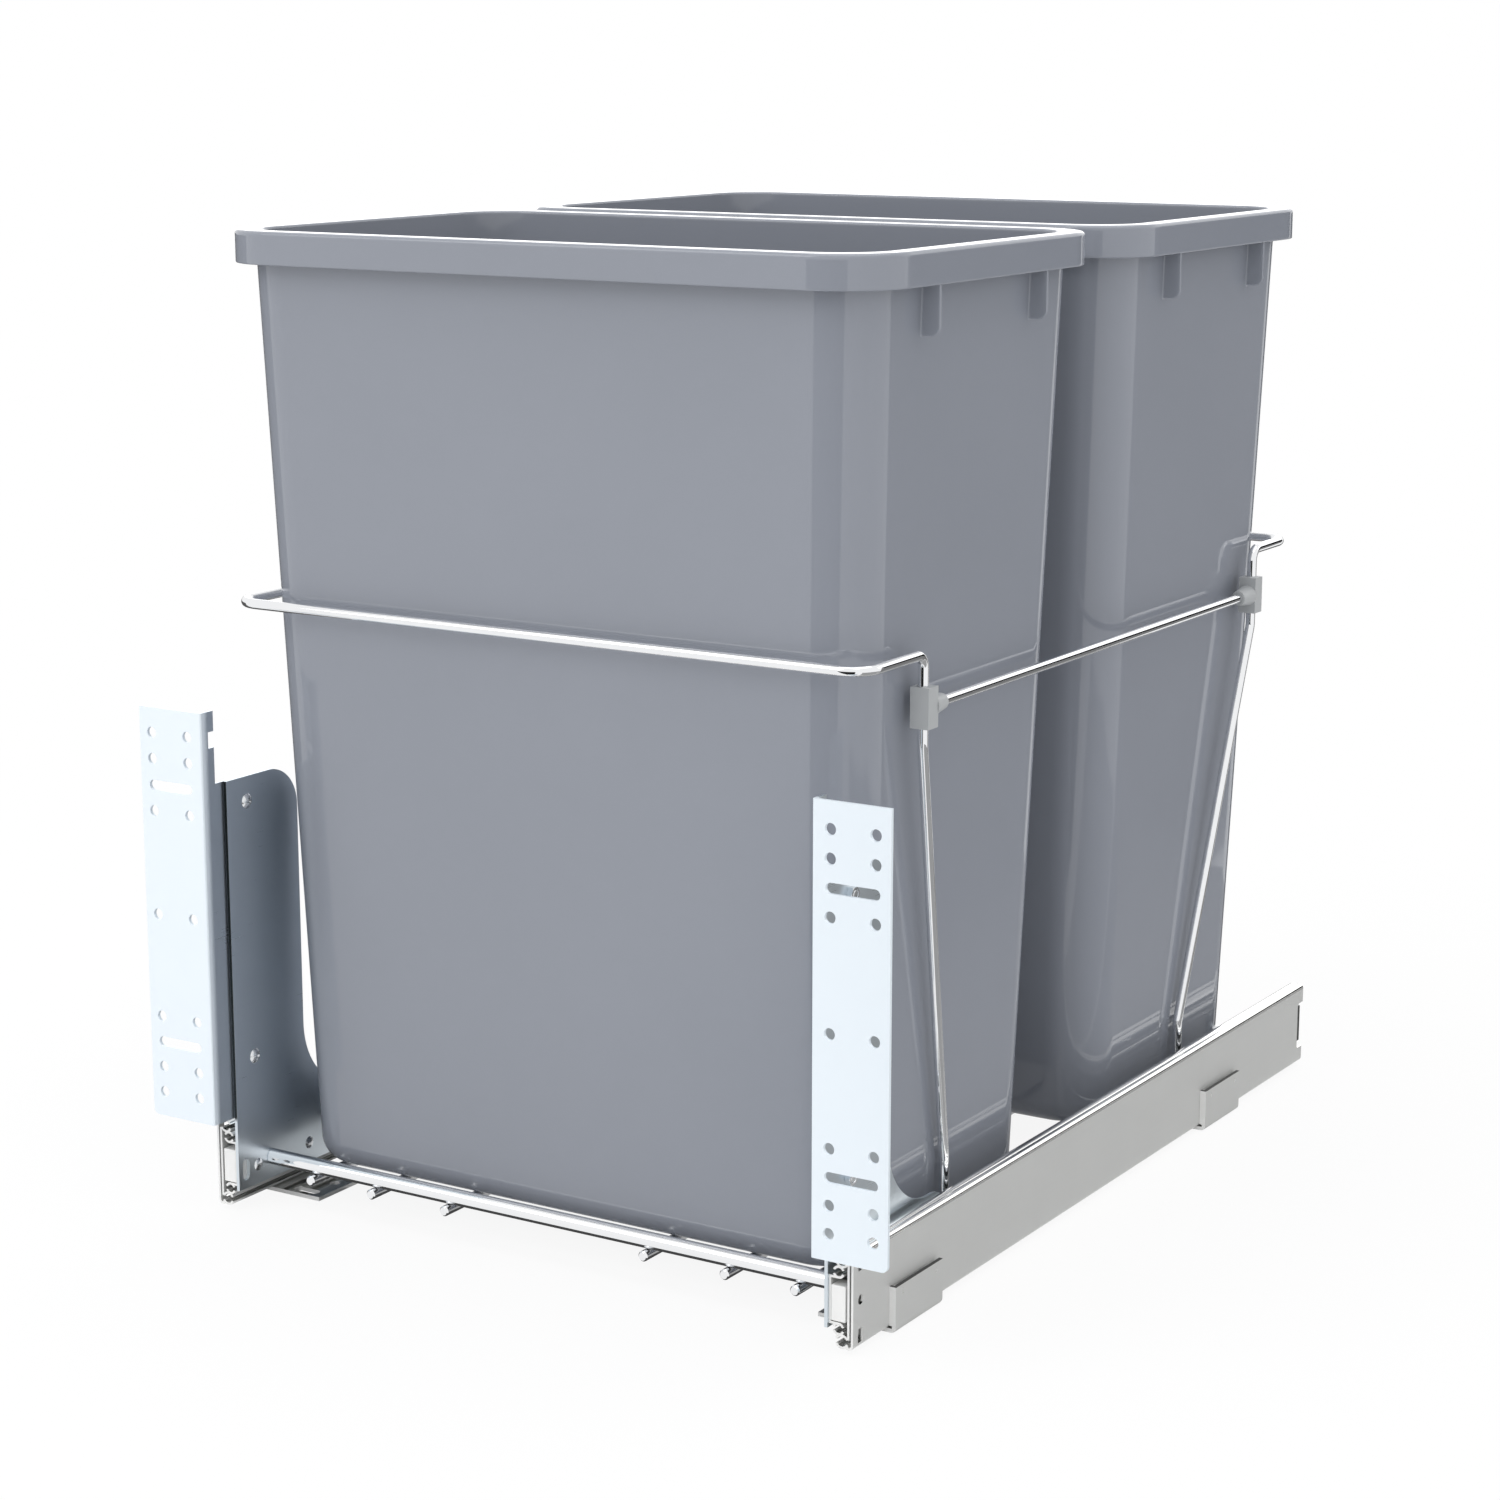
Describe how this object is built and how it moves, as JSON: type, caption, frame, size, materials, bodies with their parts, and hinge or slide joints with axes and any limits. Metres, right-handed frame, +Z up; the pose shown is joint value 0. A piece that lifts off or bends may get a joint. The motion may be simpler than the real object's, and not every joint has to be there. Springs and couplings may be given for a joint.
{
  "type": "pull-out bin frame",
  "caption": "Pull-out waste bin frame: chrome wire carriage with tapered bins on telescopic ball-bearing slides, with floor brackets and door mounting plates.",
  "frame": {"origin": "on the cabinet floor, under the middle of the closed frame's box", "axes": "+X to the right seen from the door, +Y to the back of the cabinet, +Z up"},
  "size_m": [0.4192, 0.524, 0.484],
  "materials": {
    "rail_zinc": "bright zinc plate",
    "plate_zinc": "blue-bright zinc plate",
    "chrome_wire": "polished chrome",
    "fastener_steel": "zinc plate",
    "cage_steel": "plain sheet steel",
    "ball_steel": "polished bearing steel",
    "bin_plastic": "glossy moulded grey",
    "clip_plastic": "satin moulded grey",
    "cap_plastic": "satin white",
    "dark_plastic": "satin black"
  },
  "bodies": {
    "base": {"left_outer_rail": "rail_zinc", "left_rear_bumper": "dark_plastic", "right_outer_rail": "rail_zinc", "right_rear_bumper": "dark_plastic", "front_left_foot_bracket": "rail_zinc", "front_right_foot_bracket": "rail_zinc", "rear_left_foot_bracket": "rail_zinc", "rear_right_foot_bracket": "rail_zinc"},
    "left_middle": {"left_middle_rail": "rail_zinc"},
    "left_outer_race": {"left_outer_cage": "cage_steel", "left_outer_balls": "ball_steel"},
    "left_inner_race": {"left_inner_cage": "cage_steel", "left_inner_balls": "ball_steel"},
    "right_middle": {"right_middle_rail": "rail_zinc"},
    "right_outer_race": {"right_outer_cage": "cage_steel", "right_outer_balls": "ball_steel"},
    "right_inner_race": {"right_inner_cage": "cage_steel", "right_inner_balls": "ball_steel"},
    "front_bin_unit": {"front_bin": "bin_plastic"},
    "rear_bin_unit": {"rear_bin": "bin_plastic"},
    "carriage": {"left_inner_rail": "rail_zinc", "left_front_cap": "cap_plastic", "left_side_arm": "plate_zinc", "left_door_plate": "plate_zinc", "left_rear_bracket": "plate_zinc", "left_side_rod": "chrome_wire", "left_guard_rod": "chrome_wire", "front_left_clip": "clip_plastic", "rear_left_clip": "clip_plastic", "right_inner_rail": "rail_zinc", "right_front_cap": "cap_plastic", "right_side_arm": "plate_zinc", "right_door_plate": "plate_zinc", "right_rear_bracket": "plate_zinc", "right_side_rod": "chrome_wire", "right_guard_rod": "chrome_wire", "front_right_clip": "clip_plastic", "rear_right_clip": "clip_plastic", "plate_screws": "fastener_steel", "plate_nuts": "fastener_steel", "arm_rivets": "fastener_steel", "rear_rivets": "fastener_steel", "front_cross_rod": "chrome_wire", "rear_cross_rod": "chrome_wire", "floor_wires": "chrome_wire", "front_cradle_wire": "chrome_wire", "rear_cradle_wire": "chrome_wire", "front_hoop": "chrome_wire", "rear_hoop": "chrome_wire"}
  },
  "joints": [
    {"name": "pull_out", "type": "slide", "parent": "base", "child": "carriage", "axis": [0, -1, 0], "range_m": [0, 0.5]},
    {"name": "left_middle_travel", "type": "slide", "parent": "base", "child": "left_middle", "axis": [0, -1, 0], "range_m": [0, 0.25]},
    {"name": "left_outer_race_travel", "type": "slide", "parent": "base", "child": "left_outer_race", "axis": [0, -1, 0], "range_m": [0, 0.125]},
    {"name": "left_inner_race_travel", "type": "slide", "parent": "base", "child": "left_inner_race", "axis": [0, -1, 0], "range_m": [0, 0.375]},
    {"name": "right_middle_travel", "type": "slide", "parent": "base", "child": "right_middle", "axis": [0, -1, 0], "range_m": [0, 0.25]},
    {"name": "right_outer_race_travel", "type": "slide", "parent": "base", "child": "right_outer_race", "axis": [0, -1, 0], "range_m": [0, 0.125]},
    {"name": "right_inner_race_travel", "type": "slide", "parent": "base", "child": "right_inner_race", "axis": [0, -1, 0], "range_m": [0, 0.375]},
    {"name": "front_bin_lift", "type": "slide", "parent": "carriage", "child": "front_bin_unit", "axis": [0, 0, 1], "range_m": [0, 0.5]},
    {"name": "rear_bin_lift", "type": "slide", "parent": "carriage", "child": "rear_bin_unit", "axis": [0, 0, 1], "range_m": [0, 0.5]}
  ],
  "couplings": [
    {"joint": "left_middle_travel", "follows": "pull_out", "ratio": 0.5},
    {"joint": "left_outer_race_travel", "follows": "pull_out", "ratio": 0.25},
    {"joint": "left_inner_race_travel", "follows": "pull_out", "ratio": 0.75},
    {"joint": "right_middle_travel", "follows": "pull_out", "ratio": 0.5},
    {"joint": "right_outer_race_travel", "follows": "pull_out", "ratio": 0.25},
    {"joint": "right_inner_race_travel", "follows": "pull_out", "ratio": 0.75}
  ]
}
